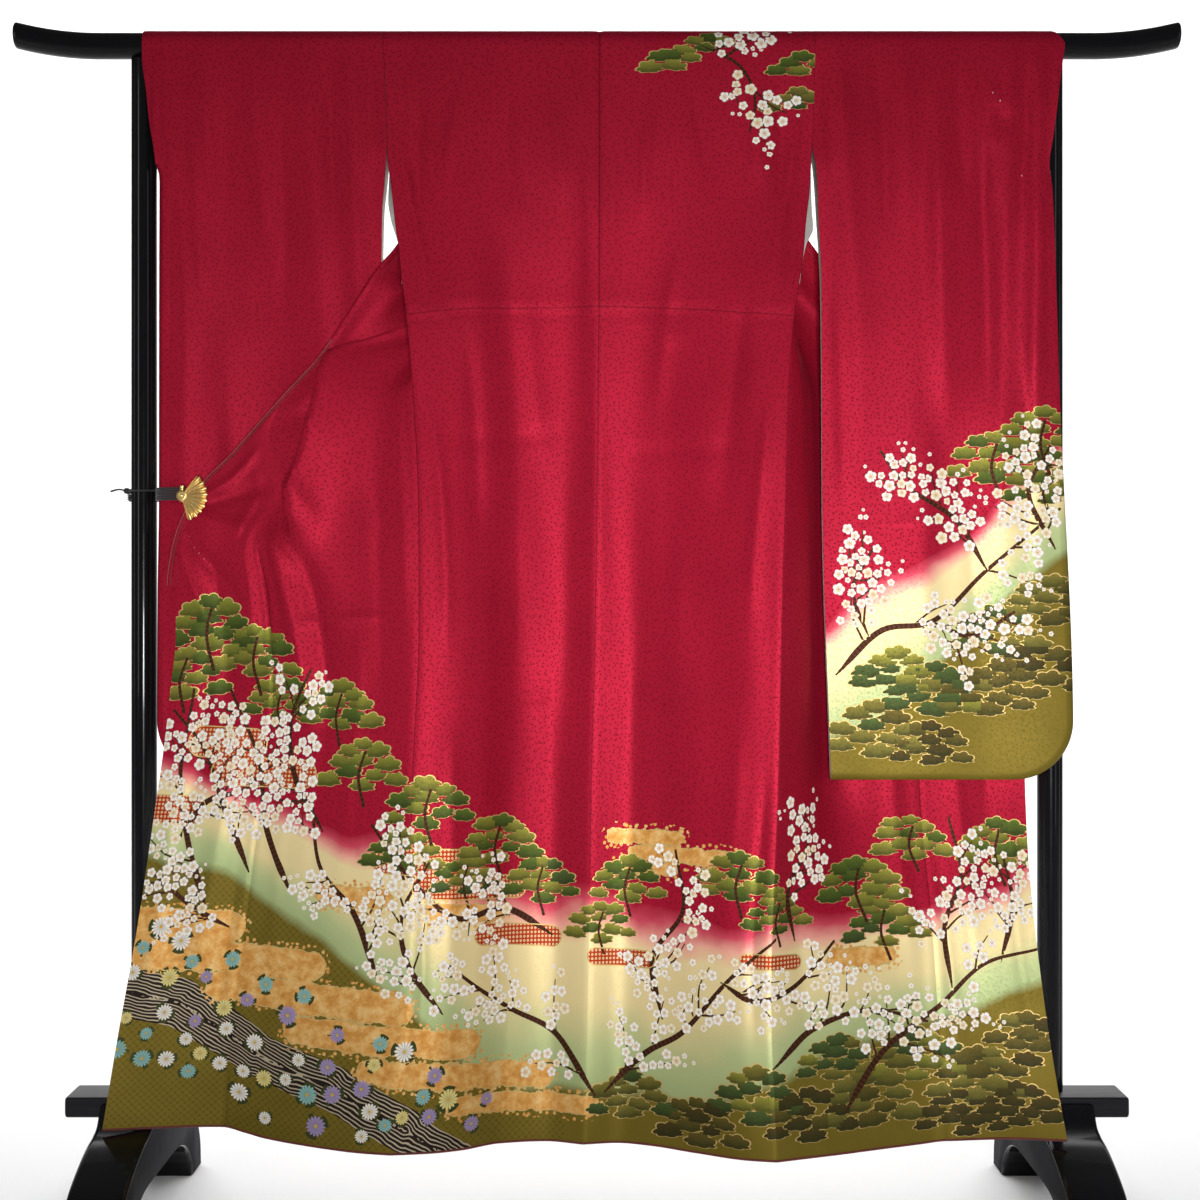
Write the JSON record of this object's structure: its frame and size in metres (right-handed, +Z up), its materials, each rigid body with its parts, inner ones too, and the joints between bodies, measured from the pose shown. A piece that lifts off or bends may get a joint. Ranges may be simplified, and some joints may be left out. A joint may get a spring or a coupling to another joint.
{
  "type": "furisode kimono on kimono stand",
  "caption": "Long-sleeved formal silk kimono hung over the top rail of a lacquered wooden stand, its fronts spread beside the back and one front held out by a fan clip.",
  "frame": {"origin": "on the floor, in the middle of the stand's footprint", "axes": "+X to the viewer's right along the rail, -Y towards the viewer of the kimono's back, +Z up"},
  "size_m": [1.686, 0.58, 1.7349],
  "materials": {
    "silk": "dyed silk crepe, soft sheen",
    "lacquer": "polished black lacquer",
    "lacquer_satin": "satin black lacquer",
    "gilt": "gilt, pleated",
    "cord": "twisted silk cord"
  },
  "bodies": {
    "root": {"body_left": "silk", "body_right": "silk", "okumi_left": "silk", "okumi_right": "silk", "collar": "silk", "sleeve_left": "silk", "sleeve_right": "silk", "rail": "lacquer", "post_left": "lacquer", "post_right": "lacquer", "cross_plank": "lacquer_satin", "foot_left": "lacquer", "foot_right": "lacquer", "clip_fan": "gilt", "clip_hinge": "gilt", "clip_back_jaw": "gilt", "cord_strand_1": "cord", "cord_strand_2": "cord", "cord_strand_3": "cord", "cord_strand_4": "cord", "cord_strand_5": "cord", "cord_front": "cord", "cord_knot": "cord"}
  },
  "joints": []
}
